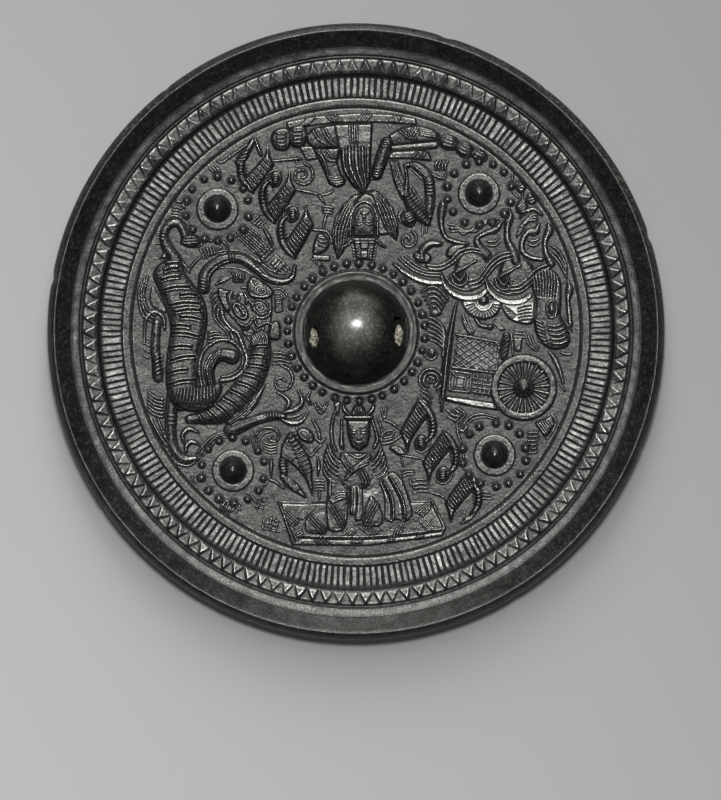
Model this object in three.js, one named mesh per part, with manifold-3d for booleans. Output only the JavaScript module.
// Bronze mirror, back side up: a cast disc with a bored knob, a figure field and banded border.
// Millimetres, +Z up, the disc's centre on the Z axis, the four scenes at +Y, +X, -Y and -X.
import * as THREE from "three";
import { mergeVertices } from "three/addons/utils/BufferGeometryUtils.js";
import Module from "manifold-3d";

const wasm = await Module();
wasm.setup();

// Disc and border, radii from the centre
const RADIUS = 105;
const RIM_CREST_RADIUS = 102.4;
const RIM_FOOT_RADIUS = 97;
const SAW_OUTER_RADIUS = 93.6;
const SAW_INNER_RADIUS = 88.3;
const SAW_FOOT_RADIUS = 88.6;
const SAW_VALLEY_RADIUS = 89;
const SAW_TIP_RADIUS = 93;
const COMB_OUTER_RADIUS = 86.4;
const COMB_INNER_RADIUS = 81;
const PLAIN_RING_OUTER_RADIUS = 79.9;
const PLAIN_RING_INNER_RADIUS = 77.4;
const FIELD_RADIUS = 76.7;
const KNOB_RING_RADIUS = 21.2;
const KNOB_RADIUS = 17.4;
const ROUND_SIDES = 48;

// Heights over the flat, undished face
const FIELD_HEIGHT = 2.6;
const PLAIN_RING_HEIGHT = 3.4;
const COMB_INNER_HEIGHT = 3.5;
const COMB_OUTER_HEIGHT = 3.9;
const SAW_INNER_HEIGHT = 5;
const SAW_OUTER_HEIGHT = 5.7;
const RIM_FOOT_HEIGHT = 6.6;
const RIM_CREST_HEIGHT = 11;
const RIM_EDGE_HEIGHT = 8;
const KNOB_RING_HEIGHT = 3.5;
const KNOB_TOP_HEIGHT = 15.6;

// The face is a little convex, so the whole disc is a shallow dish; it lies on a flat spot
const FACE_CURVE_RADIUS = 1575;
const FLAT_SPOT_RADIUS = 25;

// Cord bore through the knob, along X
const BORE_WIDTH = 10;
const BORE_HEIGHT = 7;

// Repeated parts
const SAW_TEETH = 125;
const SAW_FOOT_RISE = 0.3;
const SAW_TIP_RISE = 0.9;
const KNOB_BEADS = 35;
const KNOB_BEAD_CIRCLE = 23.5;
const NIPPLE_COUNT = 4;
const NIPPLE_CIRCLE = 63.3;
const NIPPLE_START_ANGLE = 48.4;
const NIPPLE_RADIUS = 4.6;
const NIPPLE_HEIGHT = 5;
const NIPPLE_RING_RADIUS = 7.1;
const NIPPLE_BEADS = 14;
const NIPPLE_BEAD_CIRCLE = 11;
const BEAD_RADIUS = 1.3;
const BEAD_HEIGHT = 1.2;
const BEAD_SIDES = 5;

// Relief slabs reach this far into the disc, and their walls lean in by this much
const ROOT_DEPTH = 1;
const WALL_LEAN = 0.3;

const pieces = [];

// A closed manifold solid from any three.js geometry, turned outwards
function solidOf(geometry) {
  const bare = geometry.clone();
  bare.deleteAttribute("normal");
  bare.deleteAttribute("uv");
  const merged = mergeVertices(bare, 1e-4);
  const corners = merged.index.array;
  const kept = [];
  for (let i = 0; i < corners.length; i += 3) {
    const [a, b, c] = [corners[i], corners[i + 1], corners[i + 2]];
    if (a !== b && b !== c && c !== a) kept.push(a, b, c);
  }
  const build = (triVerts) => {
    const vertProperties = new Float32Array(merged.attributes.position.array);
    return new wasm.Manifold(new wasm.Mesh({ numProp: 3, vertProperties, triVerts }));
  };
  const made = build(new Uint32Array(kept));
  if (made.volume() > 0) return made;
  return build(new Uint32Array(kept.reverse()));
}

// A turned solid: profile points are [radius, height], from the axis and back to it
function turned(profile, sides) {
  const points = profile.map(([radius, height]) => new THREE.Vector2(radius, height));
  const geometry = new THREE.LatheGeometry(points, sides);
  geometry.rotateX(Math.PI / 2);
  return geometry;
}

// Each corner of an outline moved inwards by the same distance from its two edges
function shrunk(outline, distance) {
  const turnsLeft = THREE.ShapeUtils.area(outline) > 0 ? 1 : -1;
  return outline.map((corner, i) => {
    const before = outline[(i + outline.length - 1) % outline.length];
    const after = outline[(i + 1) % outline.length];
    const arriving = corner.clone().sub(before).normalize();
    const leaving = after.clone().sub(corner).normalize();
    const inward = new THREE.Vector2(-arriving.y - leaving.y, arriving.x + leaving.x);
    const sharpness = Math.max(0.6, inward.length() / 2);
    inward.normalize().multiplyScalar((turnsLeft * distance) / sharpness);
    return corner.clone().add(inward);
  });
}

// A relief slab on the field from a closed outline of [x, y], with walls that lean in
function slab(outline, height, base = FIELD_HEIGHT) {
  const corners = outline.map(([x, y]) => new THREE.Vector2(x, y));
  const top = shrunk(corners, WALL_LEAN);
  const depth = ROOT_DEPTH + height;
  const shape = new THREE.Shape(corners);
  const geometry = new THREE.ExtrudeGeometry(shape, { depth, bevelEnabled: false });
  const position = geometry.attributes.position;
  for (let i = 0; i < position.count; i += 1) {
    if (position.getZ(i) < depth / 2) continue;
    const here = new THREE.Vector2(position.getX(i), position.getY(i));
    const nearest = corners.findIndex((corner) => corner.distanceTo(here) < 1e-4);
    position.setXY(i, top[nearest].x, top[nearest].y);
  }
  geometry.translate(0, 0, base - ROOT_DEPTH);
  pieces.push(solidOf(geometry));
}

// A relief ridge along a line of [x, y, width] stations
function ridge(stations, height) {
  const left = [];
  const right = [];
  stations.forEach(([x, y, width], i) => {
    const before = stations[Math.max(0, i - 1)];
    const after = stations[Math.min(stations.length - 1, i + 1)];
    const along = new THREE.Vector2(after[0] - before[0], after[1] - before[1]).normalize();
    left.push([x - (along.y * width) / 2, y + (along.x * width) / 2]);
    right.unshift([x + (along.y * width) / 2, y - (along.x * width) / 2]);
  });
  slab([...left, ...right], height);
}

// A relief slab with an oval outline, turned by an angle in degrees
function oval(x, y, halfLength, halfWidth, angle, height, sides = 6) {
  const turn = THREE.MathUtils.degToRad(angle);
  const outline = [];
  for (let i = 0; i < sides; i += 1) {
    const around = (2 * Math.PI * i) / sides;
    const a = halfLength * Math.cos(around);
    const b = halfWidth * Math.sin(around);
    outline.push([
      x + a * Math.cos(turn) - b * Math.sin(turn),
      y + a * Math.sin(turn) + b * Math.cos(turn),
    ]);
  }
  slab(outline, height);
}

// A low five-sided bead; its foot reaches a little into the field
function bead(x, y) {
  const foot = 0.3;
  const geometry = new THREE.ConeGeometry(BEAD_RADIUS * 1.15, BEAD_HEIGHT + foot, BEAD_SIDES);
  geometry.rotateX(Math.PI / 2);
  geometry.translate(x, y, FIELD_HEIGHT + (BEAD_HEIGHT - foot) / 2);
  pieces.push(solidOf(geometry));
}

// Points turned about the origin by an angle in degrees, then moved; widths are kept
function placed(stations, x, y, angle) {
  const turn = THREE.MathUtils.degToRad(angle);
  return stations.map(([a, b, width]) => {
    const at = [
      x + a * Math.cos(turn) - b * Math.sin(turn),
      y + a * Math.sin(turn) + b * Math.cos(turn),
    ];
    return width === undefined ? at : [...at, width];
  });
}

// ---- disc, border bands and knob ----
function disc() {
  const profile = [
    [0, 0],
    [FLAT_SPOT_RADIUS + 1, 0],
    [66, 0],
    [RADIUS, 0],
    [RADIUS, RIM_EDGE_HEIGHT],
    [RIM_CREST_RADIUS, RIM_CREST_HEIGHT],
    [RIM_FOOT_RADIUS, RIM_FOOT_HEIGHT],
    [SAW_OUTER_RADIUS, SAW_OUTER_HEIGHT],
    [SAW_INNER_RADIUS, SAW_INNER_HEIGHT],
    [COMB_OUTER_RADIUS, COMB_OUTER_HEIGHT],
    [COMB_INNER_RADIUS, COMB_INNER_HEIGHT],
    [COMB_INNER_RADIUS - 0.6, FIELD_HEIGHT + 0.1],
    [PLAIN_RING_OUTER_RADIUS, PLAIN_RING_HEIGHT],
    [PLAIN_RING_INNER_RADIUS, PLAIN_RING_HEIGHT],
    [FIELD_RADIUS, FIELD_HEIGHT],
    [48, FIELD_HEIGHT],
    [KNOB_RING_RADIUS + 0.4, FIELD_HEIGHT],
    [KNOB_RING_RADIUS, KNOB_RING_HEIGHT],
    [KNOB_RADIUS, KNOB_RING_HEIGHT],
    [KNOB_RADIUS * 0.96, 7],
    [KNOB_RADIUS * 0.83, 11],
    [KNOB_RADIUS * 0.57, 14.2],
    [KNOB_RADIUS * 0.28, KNOB_TOP_HEIGHT - 0.3],
    [0, KNOB_TOP_HEIGHT],
  ];
  return solidOf(turned(profile, ROUND_SIDES));
}

// The arch-shaped bore, as a long bar that is cut away
function bore() {
  const half = BORE_WIDTH / 2;
  const shape = new THREE.Shape();
  shape.moveTo(-half, KNOB_RING_HEIGHT);
  shape.lineTo(half, KNOB_RING_HEIGHT);
  shape.lineTo(half, KNOB_RING_HEIGHT + BORE_HEIGHT * 0.5);
  shape.lineTo(half * 0.72, KNOB_RING_HEIGHT + BORE_HEIGHT * 0.88);
  shape.lineTo(0, KNOB_RING_HEIGHT + BORE_HEIGHT);
  shape.lineTo(-half * 0.72, KNOB_RING_HEIGHT + BORE_HEIGHT * 0.88);
  shape.lineTo(-half, KNOB_RING_HEIGHT + BORE_HEIGHT * 0.5);
  const depth = 2 * KNOB_RING_RADIUS;
  const geometry = new THREE.ExtrudeGeometry(shape, { depth, bevelEnabled: false });
  geometry.translate(0, 0, -depth / 2);
  geometry.rotateX(Math.PI / 2);
  geometry.rotateZ(Math.PI / 2);
  return solidOf(geometry);
}

// The saw-tooth band: wedges with their feet inwards, each rising outwards to a point
function sawTeeth() {
  const points = [];
  for (let i = 0; i < 2 * SAW_TEETH; i += 1) {
    const angle = (Math.PI * i) / SAW_TEETH;
    const radius = i % 2 ? SAW_VALLEY_RADIUS : SAW_TIP_RADIUS;
    points.push(new THREE.Vector2(radius * Math.cos(angle), radius * Math.sin(angle)));
  }
  const star = new THREE.Shape(points);
  star.holes.push(new THREE.Path().absarc(0, 0, SAW_FOOT_RADIUS, 0, 2 * Math.PI, true));
  const depth = 2;
  const options = { depth, bevelEnabled: false, curveSegments: ROUND_SIDES / 2 };
  const geometry = new THREE.ExtrudeGeometry(star, options);
  const position = geometry.attributes.position;
  const slope = (SAW_OUTER_HEIGHT - SAW_INNER_HEIGHT) / (SAW_OUTER_RADIUS - SAW_INNER_RADIUS);
  for (let i = 0; i < position.count; i += 1) {
    const radius = Math.hypot(position.getX(i), position.getY(i));
    const surface = SAW_INNER_HEIGHT + slope * (radius - SAW_INNER_RADIUS);
    const share = (radius - SAW_FOOT_RADIUS) / (SAW_TIP_RADIUS - SAW_FOOT_RADIUS);
    const rise = SAW_FOOT_RISE + (SAW_TIP_RISE - SAW_FOOT_RISE) * share;
    position.setZ(i, surface + (position.getZ(i) > depth / 2 ? rise : -depth / 2));
  }
  return solidOf(geometry);
}

// ---- nipples and beads ----
function nipple(x, y) {
  const profile = [
    [0, FIELD_HEIGHT - ROOT_DEPTH],
    [NIPPLE_RING_RADIUS, FIELD_HEIGHT - ROOT_DEPTH],
    [NIPPLE_RING_RADIUS, FIELD_HEIGHT],
    [NIPPLE_RING_RADIUS - 0.5, FIELD_HEIGHT + 0.6],
    [NIPPLE_RADIUS, FIELD_HEIGHT + 0.6],
    [NIPPLE_RADIUS * 0.8, FIELD_HEIGHT + NIPPLE_HEIGHT * 0.5],
    [NIPPLE_RADIUS * 0.4, FIELD_HEIGHT + NIPPLE_HEIGHT * 0.86],
    [0, FIELD_HEIGHT + NIPPLE_HEIGHT],
  ];
  const geometry = turned(profile, 12);
  geometry.translate(x, y, 0);
  pieces.push(solidOf(geometry));
  for (let i = 0; i < NIPPLE_BEADS; i += 1) {
    const around = (2 * Math.PI * (i + 0.5)) / NIPPLE_BEADS;
    bead(x + NIPPLE_BEAD_CIRCLE * Math.cos(around), y + NIPPLE_BEAD_CIRCLE * Math.sin(around));
  }
}

function nipplesAndBeads() {
  for (let i = 0; i < NIPPLE_COUNT; i += 1) {
    const angle = THREE.MathUtils.degToRad(NIPPLE_START_ANGLE + (360 / NIPPLE_COUNT) * i);
    nipple(NIPPLE_CIRCLE * Math.cos(angle), NIPPLE_CIRCLE * Math.sin(angle));
  }
  for (let i = 0; i < KNOB_BEADS; i += 1) {
    const angle = (2 * Math.PI * i) / KNOB_BEADS;
    bead(KNOB_BEAD_CIRCLE * Math.cos(angle), KNOB_BEAD_CIRCLE * Math.sin(angle));
  }
}

// ---- a kneeling attendant: robe with a trailing tip, sleeve and head ----
function attendant(x, y, angle) {
  const robe = [
    [-4.6, -3.2],
    [-1.7, -7.8],
    [5.4, 1.4],
    [4.2, 6.2],
    [3.1, 10],
    [1.8, 3.6],
  ];
  slab(placed(robe, x, y, angle), 1.2);
  ridge(placed([[-6.9, 1.8, 2.6], [-6.2, -1.2, 3], [-4.7, -3.2, 2.6]], x, y, angle), 0.8);
  const [head] = placed([[-1.7, 5.9]], x, y, angle);
  oval(head[0], head[1], 2.9, 1.8, angle + 75, 1.1);
}

// ---- west: the tiger ----
function tiger() {
  slab([[-60, 25], [-65.5, 24.5], [-69, 20], [-64, 5], [-65, -18], [-54, -20], [-52, 8], [-59, 20.5]], 1.3);
  oval(-54.2, -22.6, 7.6, 4.2, 0, 1.7, 12);
  ridge([[-52, -29, 5], [-44.5, -27, 7.4], [-38, -20.5, 8.4], [-33.8, -12, 7.6], [-33.2, -3, 7]], 1.2);
  slab([[-45, 13], [-36, 18.6], [-30.5, 18.6], [-28.3, 14], [-29, -1.5], [-36.5, -2], [-43.5, 5.5]], 0.8);
  oval(-33, 14.9, 3, 3, 0, 1.6);
  oval(-33.1, 8.8, 2.7, 2.7, 0, 1.6);
  oval(-40, 7.4, 3.3, 2, -55, 1.3);
  oval(-28.8, 0.4, 3.2, 2.4, 100, 1.4);
  // the curled wing
  ridge([[-52, -18, 1.6], [-53.3, -11, 1.8], [-50, -5, 1.8], [-44.5, -3.3, 1.8], [-40.4, -7, 1.6],
    [-40.5, -12.5, 1.4], [-45.5, -16, 1]], 1);
  ridge([[-49.6, -18, 2], [-50, -12.5, 3], [-47.5, -8.6, 3.2], [-42.8, -8, 5]], 1.4);
  ridge([[-47.4, 14, 1], [-45.5, 8, 1.8], [-41, 2, 1.8], [-38, -5, 1.6], [-38.2, -12, 1]], 1);
  // tail
  ridge([[-52, 15.5, 3.8], [-51, 20.5, 3.8], [-47, 24.2, 3.4], [-41, 25.4, 3.2], [-35.5, 23, 3],
    [-30, 18.6, 2.6], [-25, 17.4, 2.2], [-21.4, 19, 1.8], [-20.6, 23.5, 1]], 1.5);
  // hind leg, paw and tufts
  ridge([[-62, 25, 4.4], [-65, 30, 3.8], [-64, 35.5, 3.4], [-61, 37.4, 3], [-58.4, 34.5, 3]], 1.2);
  oval(-56.6, 31.3, 3.7, 2.1, 5, 1.6);
  slab([[-71.3, 25], [-65.4, 24.6], [-65.6, 27.6]], 0.7);
  slab([[-70.2, 30], [-65.6, 29.4], [-65.6, 33]], 0.7);
  // forelegs with claws
  ridge([[-63, -22, 4], [-63, -33, 3.8], [-61.8, -40, 3.4], [-57.5, -43.4, 2.4]], 1.2);
  ridge([[-58.8, -37.4, 1.6], [-58, -34, 1.8], [-54.5, -33.4, 0.8]], 0.8);
  ridge([[-57.6, -41, 1.4], [-56.6, -38, 1.8], [-53.4, -38.2, 0.8]], 0.8);
  ridge([[-42.4, -33.6, 4.6], [-36, -30.6, 3.6], [-29, -28.4, 3], [-25, -28.6, 2.2]], 1.3);
  ridge([[-43, -30.6, 2.4], [-36.6, -25.6, 3], [-31.2, -18.4, 0.8]], 0.9);
  ridge([[-27, -20.6, 0.8], [-24.2, -22.2, 1.6], [-23, -25.6, 1.6]], 0.8);
  ridge([[-19.8, -20, 0.8], [-18.6, -24, 2], [-21, -26.8, 1.8], [-25.4, -27.6, 1]], 0.9);
  ridge([[-26, -29.6, 1], [-21.6, -30.8, 2.2], [-17.6, -29.4, 0.8]], 0.9);
  // leg at the far left
  ridge([[-66, 2.5, 1.4], [-67.5, 6.4, 1.6], [-71, 5.6, 1.4], [-71.8, 2, 1]], 0.8);
  ridge([[-68.2, 3, 3.2], [-68.4, -6, 3.2], [-67.8, -15, 3.8]], 1);
  ridge([[-72.2, 19.5, 1.2], [-73.2, 12.5, 1.6], [-71, 8, 1.4]], 0.8);
  slab([[-70.6, -20], [-66.4, -22.6], [-66.4, -29], [-70.4, -26]], 0.6);
}

function westClouds() {
  ridge([[-53.4, 29.4, 1], [-48, 31.2, 1.4], [-44.2, 30, 1.4], [-44.6, 27.2, 1.2], [-47, 27.4, 0.8]], 0.8);
  oval(-25.2, -17, 1.3, 1.3, 0, 0.7, 6);
  // banner with a square box
  slab([[-41.4, 33.6], [-34.6, 26.4], [-29.6, 30.4], [-36.4, 37]], 0.5);
  slab([[-30.6, 23.4], [-27.2, 20.2], [-24.2, 23.4], [-27.6, 26.8]], 0.8);
  ridge([[-32, 36.4, 0.6], [-30, 33.4, 1.8], [-28.6, 30.4, 0.6]], 0.7);
}

// ---- north: seated figure with its head towards the knob, three attendants, one kneeling ----
function northSeated() {
  slab([[-23, 69.8], [-22.6, 72], [-8, 74.6], [8, 74.6], [20.4, 72.8], [20.8, 70.6], [0, 71.4],
    [-14, 70.8]], 0.5);
  slab([[-7.4, 71], [4.9, 71.2], [4.4, 62], [5, 53], [2.9, 47.8],
    [-1.4, 51], [-4.8, 56.5], [-6.2, 63]], 1.2);
  // sleeves
  slab([[-15, 63.2], [-6.4, 62], [-7.2, 58.4], [-4.2, 52.8], [-5.4, 50.2], [-8.4, 50.2], [-10.6, 53]], 1.4);
  slab([[-18.4, 63.4], [-15.8, 63.4], [-13.8, 59.4], [-16, 58.8]], 0.7);
  slab([[-16.6, 67.6], [-13.6, 70.2], [-8, 70.8], [-6.4, 63], [-13, 63.6], [-16.2, 65.4]], 1.3);
  oval(-19.6, 66.8, 4.2, 2.9, 5, 1);
  oval(-25.2, 66, 3.9, 3.1, 10, 0.8);
  ridge([[9.6, 65.4, 3.6], [8.8, 62, 4.4], [7.4, 56, 4.2], [6.8, 53, 3.2]], 1.6);
  slab([[10.4, 67.4], [15.4, 70.2], [22, 69.8], [28.4, 67.6], [27.6, 65.4], [20, 65], [13, 64.2]], 1.1);
  ridge([[12.6, 63, 2.2], [24, 63.8, 2.8], [31.4, 65.2, 5], [34.2, 64.4, 3]], 0.9);
  oval(37, 62.9, 3.2, 2.1, -22, 0.8);
  oval(42.2, 61.2, 2.6, 1.4, -22, 0.7);
  ridge([[11.6, 60.2, 1.8], [20, 60.8, 2.6], [25.4, 60.4, 2.4]], 0.8);
  // head, hood and hair
  slab([[-1.4, 33.6], [-1.2, 39.6], [0.4, 42.8], [2.8, 43.6], [5.2, 42.6], [6.6, 39.4], [6.9, 33.8]], 1.7);
  ridge([[-3.4, 34, 1.4], [-2.9, 40, 1.4], [-0.4, 44, 1.4], [2.8, 45.4, 1.4], [6, 43.6, 1.4],
    [8.4, 39, 1.4], [9.2, 34, 1.4]], 1);
  ridge([[0.6, 48.4, 1], [-3.6, 44.6, 3], [-6.6, 37.4, 3.4], [-8.4, 26.4, 2]], 0.9);
  ridge([[4.6, 48.4, 1], [9, 44, 4], [12.2, 37, 4.4], [14, 30, 3.4]], 0.9);
  slab([[-2.4, 32.6], [8, 32.4], [6.4, 27], [3.4, 25.8], [-0.6, 26.6]], 0.8);
}

function northOthers() {
  attendant(-34.2, 57, 0);
  attendant(-26.3, 46.4, 0);
  attendant(-18.9, 35.2, 0);
  // kneeling figure on the right
  slab([[16.2, 57.4], [21, 56.8], [25.6, 51], [26.8, 46], [24.7, 36.8], [17.6, 46], [18.6, 51.4],
    [22.6, 48]], 1.1);
  oval(18, 39.4, 3.4, 2.5, 110, 1.2);
  ridge([[11.8, 58.4, 2.4], [13.2, 52, 3], [16.2, 46.6, 1]], 0.7);
  // small head between the attendants
  oval(-12.4, 30.6, 3, 2, 60, 1);
}

// ---- east: chariot and horses ----
function chariot() {
  const [x, y] = [57.3, -19];
  const tyre = turned([[9.2, 1.6], [11.7, 1.6], [11.4, 4], [9.5, 4], [9.2, 1.6]], 24);
  tyre.translate(x, y, 0);
  pieces.push(solidOf(tyre));
  const hub = turned([[0, 1.6], [3.6, 1.6], [3.6, 3], [2.4, 5], [0, 6]], 10);
  hub.translate(x, y, 0);
  pieces.push(solidOf(hub));
  const spokes = 22;
  for (let i = 0; i < spokes; i += 1) {
    ridge(placed([[3, 0, 0.9], [9.6, 0, 1.2]], x, y, (360 / spokes) * i + 6), 0.7);
  }
  ridge([[33.4, 9, 1], [32.4, 0, 1.4], [30.8, -12, 1.6], [29.4, -25, 1.2]], 1.1);
  slab([[34.2, -1.8], [48.2, -4], [47, -12.8], [33, -10.8]], 0.6);
  ridge([[33.8, -0.8, 0.8], [49, -3, 1]], 0.9);
  ridge([[32.4, -12, 1], [47, -14.2, 1]], 0.9);
  slab([[32, -13.4], [46, -15.4], [45.6, -21.6], [31, -20]], 0.5);
  ridge([[30.4, -22, 2], [45.8, -24.6, 2.2]], 1);
  ridge([[51.2, -0.4, 2.4], [50.8, -7.4, 2.4]], 0.8);
  slab([[61, -31], [66.8, -28.6], [67.8, -31.4], [64.4, -35.8]], 0.8);
  slab([[58.6, -34], [62, -34], [61.4, -41.4], [58.4, -41.4]], 0.5);
  // small dome in the cloud column beside the box
  oval(27, -8, 2.2, 2, 0, 0.9);
}

// A running horse seen from its side: barrel, belly band, haunch and head on a curved neck
function horse(x, y, angle) {
  ridge(placed([[-7.4, 5.2, 1.6], [-4.2, 1.4, 2], [0, 0.2, 2], [5.6, 2.2, 2]], x, y, angle), 1);
  ridge(placed([[-6.4, 7.4, 1.4], [-3, 4, 1.6], [1, 2.8, 1.6], [5.4, 4.8, 1.6]], x, y, angle), 0.8);
  slab(placed([[-8, 15], [-4.6, 18], [1, 17.8], [5, 15], [7, 9.6], [1, 5], [-4.8, 7.6]], x, y, angle), 0.8);
  ridge(placed([[-3.4, 6.2, 3.4], [-3.2, 9.6, 3], [0, 11.4, 2.4], [2.6, 11.8, 1.4]], x, y, angle), 1.6);
}

function horses() {
  horse(38.5, 12.2, 0);
  horse(53, 10.2, 3);
  ridge([[16.8, 22.8, 1.4], [20.6, 19.4, 1.8], [25, 17.8, 1.8], [29, 17.6, 1.6]], 1);
  ridge([[18, 25.4, 1.2], [23, 22.6, 1.6], [28.4, 21.6, 1.8], [32.6, 23.6, 1.2]], 0.8);
  slab([[25.6, 24.6], [29.6, 27.4], [32, 26.6], [31, 24.8]], 0.7);
  ridge([[23, 24.4, 3.6], [22.8, 27.8, 3.2], [25.4, 30, 2.6], [28.8, 30.2, 1.8]], 1.6);
  // haunches
  slab([[36.3, 10.8], [37.6, 7.4], [43.4, 4.4], [48.8, 7.4], [49.4, 10.4], [43.6, 9]], 0.8);
  slab([[50, 9.6], [51.2, 6.2], [55.4, 3.2], [60, 3.4], [60.8, 9.6], [54.6, 8.4]], 0.8);
  oval(43.6, 10.4, 1.8, 1.5, 0, 1.3);
  // foremost horse
  slab([[60.2, 19], [64, 21.4], [68.4, 20], [70.2, 15], [70.4, 5], [73, -0.5], [72, -5], [66, -5.4],
    [61.6, 0], [61.2, 12]], 1.1);
  oval(66.7, 8.6, 2.7, 1.5, 90, 1.6);
  // raised legs
  ridge([[29, 44.6, 2], [28.2, 40, 2.6], [29.2, 35.4, 1.6], [32, 32.4, 1.4], [38, 31, 1.2]], 0.9);
  ridge([[49.4, 37, 2.6], [45.4, 35.4, 1.8], [41.8, 31.4, 1.6], [44.2, 28, 2]], 0.9);
  ridge([[51.8, 42, 1], [51.9, 38, 3], [51.4, 32.6, 1.8], [54.6, 26, 2.4]], 1.1);
  ridge([[62.2, 37.6, 2.6], [57.6, 34.8, 2], [56.2, 30.4, 1.8], [62, 25.4, 1.8]], 1);
  ridge([[65.9, 35.6, 2.4], [64.2, 33, 1.6], [66.4, 23.6, 2.6]], 1);
  ridge([[72.8, 16.4, 1], [72.6, 12.8, 2.8], [72.9, 8, 1.8], [73, 3.4, 1.6]], 1);
  // small creature beside the border
  oval(56, 49.6, 2.8, 1.7, 60, 0.9);
  oval(56.4, 42.8, 2.7, 2.1, 50, 1);
  oval(59.2, 45.2, 2.2, 1.5, 55, 0.8);
}

// ---- south: seated figure upright, one attendant on the left, three on the right ----
function southSeated() {
  slab([[-27, -57.2], [-22.4, -72.6], [4, -73], [30, -69.6], [30.6, -67], [26, -57], [0, -59]], 0.5);
  slab([[-3.9, -30], [5.6, -30], [5, -36.4], [3.6, -39.6], [1, -40.6], [-1.8, -39.6], [-3.4, -36.4]], 1.8);
  slab([[-3.4, -29.4], [5.2, -29.4], [3.6, -25.2], [0.6, -24.9], [-2, -25.4]], 0.9);
  ridge([[-7.4, -27, 1], [-8.8, -33, 1.4], [-8, -39, 1.4], [-5, -44.4, 1]], 0.8);
  ridge([[-5.4, -31, 1], [-5.4, -36, 2], [-5, -39.6, 1.4]], 0.8);
  ridge([[6.4, -29, 1], [8, -34, 1.4], [6.8, -40, 1.6], [4.6, -45, 1]], 0.8);
  // chest, crossed collar and fanned sleeves
  slab([[-4.4, -42], [3.4, -42.4], [4, -47.6], [2.8, -53], [-2.8, -53.2], [-5, -48]], 0.9);
  ridge([[3, -43, 1.8], [-4, -49.6, 1.8]], 1.5);
  slab([[-10.8, -39.6], [-6, -45.8], [-6.6, -51.4], [-9.6, -50.4], [-11.8, -45]], 0.9);
  slab([[9.6, -38.4], [10.4, -45], [8, -49.8], [4.6, -48.4], [5.4, -44]], 0.9);
  ridge([[-6.6, -46.4, 2], [-5.6, -50, 2.6], [-5.2, -53.4, 2]], 1.3);
  // lap folds and knees
  ridge([[-2.6, -53.4, 2.4], [-1.6, -57.6, 3], [-1.6, -62, 2.6]], 1.2);
  ridge([[0.8, -53.2, 2.6], [2, -58, 3], [1, -64.4, 2.8]], 1.2);
  slab([[-10, -58.6], [-4, -54.6], [-3, -58], [-3.2, -64], [-5, -67.2], [-8.4, -68.4], [-10.4, -66.6]], 1.3);
  slab([[-15.8, -62.6], [-11, -61.8], [-10.4, -69.4], [-17, -69.4], [-17.6, -65.4]], 1.1);
  slab([[2.6, -65.8], [3.2, -57], [6.6, -53.6], [9, -64.4], [7.6, -66]], 1.1);
  ridge([[8.4, -51.6, 1.8], [10.6, -57, 3], [11, -63, 3]], 1.2);
  ridge([[10.6, -49.4, 1.8], [13.6, -56, 3], [14.2, -63.6, 3]], 1.3);
  ridge([[13.4, -48.8, 1.6], [16.8, -55.6, 3.2], [17.8, -63.4, 3.2]], 1.3);
  ridge([[-17, -69.8, 0.8], [6, -69.8, 0.8], [29, -67.4, 0.8]], 0.9);
}

function southOthers() {
  attendant(19, -29.8, 180);
  attendant(27.7, -41, 180);
  attendant(35.2, -54.4, 180);
  // kneeling attendant on the left
  slab([[-22.4, -34], [-18.6, -39], [-15.4, -44.4], [-14.8, -56], [-19.6, -46.6], [-25.8, -43],
    [-25.2, -38]], 1.2);
  ridge([[-24.8, -43.6, 2.6], [-24.8, -47.6, 2.6]], 0.8);
  ridge([[-24.6, -49, 2.6], [-21, -52.6, 3], [-17.6, -56, 1.4]], 0.9);
  oval(-17.2, -35, 3.2, 1.9, -40, 1.2);
  ridge([[-13.2, -42.6, 0.6], [-12.8, -46, 1.8], [-13.2, -49, 0.6]], 0.7);
  // ring, fan and fold on the right of the seated figure
  oval(11, -34.8, 2.1, 1.1, 20, 0.8);
  slab([[11, -39.4], [14.4, -38.6], [17.4, -42], [15, -42.4]], 0.7);
  ridge([[19, -50.8, 1], [22, -51.6, 1.6], [25.4, -54, 0.8]], 0.7);
}

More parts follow.
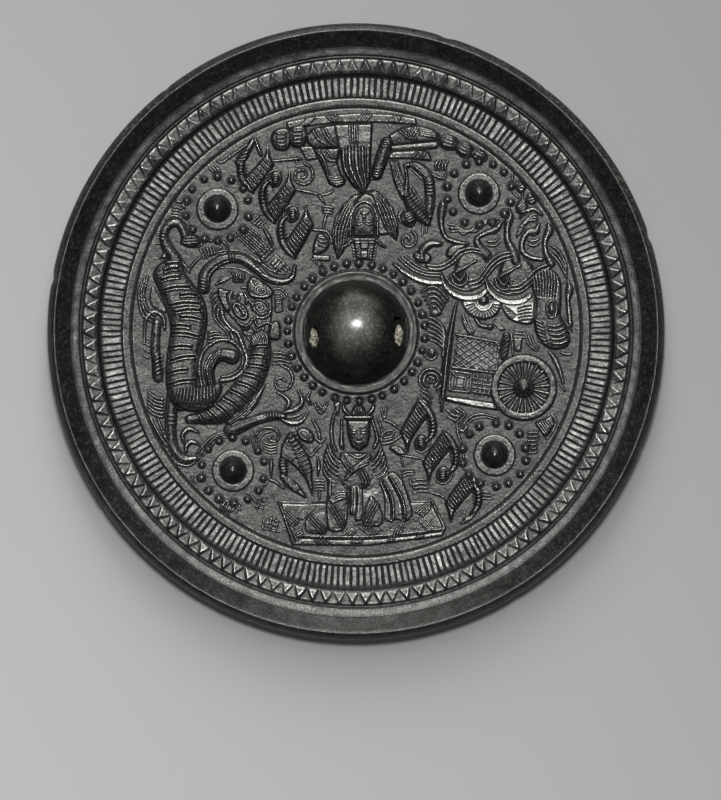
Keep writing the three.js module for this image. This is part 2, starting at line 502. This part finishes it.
// The dish: every point rises with the square of its distance from the axis
function dished(solid) {
  const mesh = solid.getMesh();
  const stride = mesh.numProp;
  const positions = new Float32Array(mesh.numVert * 3);
  for (let i = 0; i < mesh.numVert; i += 1) {
    const x = mesh.vertProperties[i * stride];
    const y = mesh.vertProperties[i * stride + 1];
    const z = mesh.vertProperties[i * stride + 2];
    positions.set([x, y, z + (x * x + y * y) / (2 * FACE_CURVE_RADIUS)], i * 3);
  }
  const geometry = new THREE.BufferGeometry();
  geometry.setAttribute("position", new THREE.BufferAttribute(positions, 3));
  geometry.setIndex(new THREE.BufferAttribute(new Uint32Array(mesh.triVerts), 1));
  return geometry;
}

// The flat spot at the face's centre, where the mirror lies: everything under it is cut off
function flatSpotCut() {
  const depth = 4;
  const level = FLAT_SPOT_RADIUS ** 2 / (2 * FACE_CURVE_RADIUS);
  const geometry = new THREE.BoxGeometry(3 * RADIUS, 3 * RADIUS, depth);
  geometry.translate(0, 0, level - depth / 2);
  return { cut: solidOf(geometry), level };
}

nipplesAndBeads();
tiger();
westClouds();
northSeated();
northOthers();
chariot();
horses();
southSeated();
southOthers();

let body = disc().add(sawTeeth());
for (const piece of pieces) body = body.add(piece);
body = body.subtract(bore());
const { cut, level } = flatSpotCut();
const mirror = solidOf(dished(body)).subtract(cut);

const finished = mirror.getMesh();
const positions = new Float32Array(finished.numVert * 3);
for (let i = 0; i < finished.numVert; i += 1) {
  const start = i * finished.numProp;
  const z = finished.vertProperties[start + 2] - level;
  positions.set([finished.vertProperties[start], finished.vertProperties[start + 1], z], i * 3);
}
const geometry = new THREE.BufferGeometry();
geometry.setAttribute("position", new THREE.BufferAttribute(positions, 3));
geometry.setIndex(new THREE.BufferAttribute(new Uint32Array(finished.triVerts), 1));
geometry.computeVertexNormals();

const bronze = new THREE.MeshStandardMaterial({ color: 0x3a3c3a, metalness: 1, roughness: 0.4 });
const mesh = new THREE.Mesh(geometry, bronze);
mesh.name = "bronze_mirror";

const group = new THREE.Group();
group.add(mesh);
export default group;
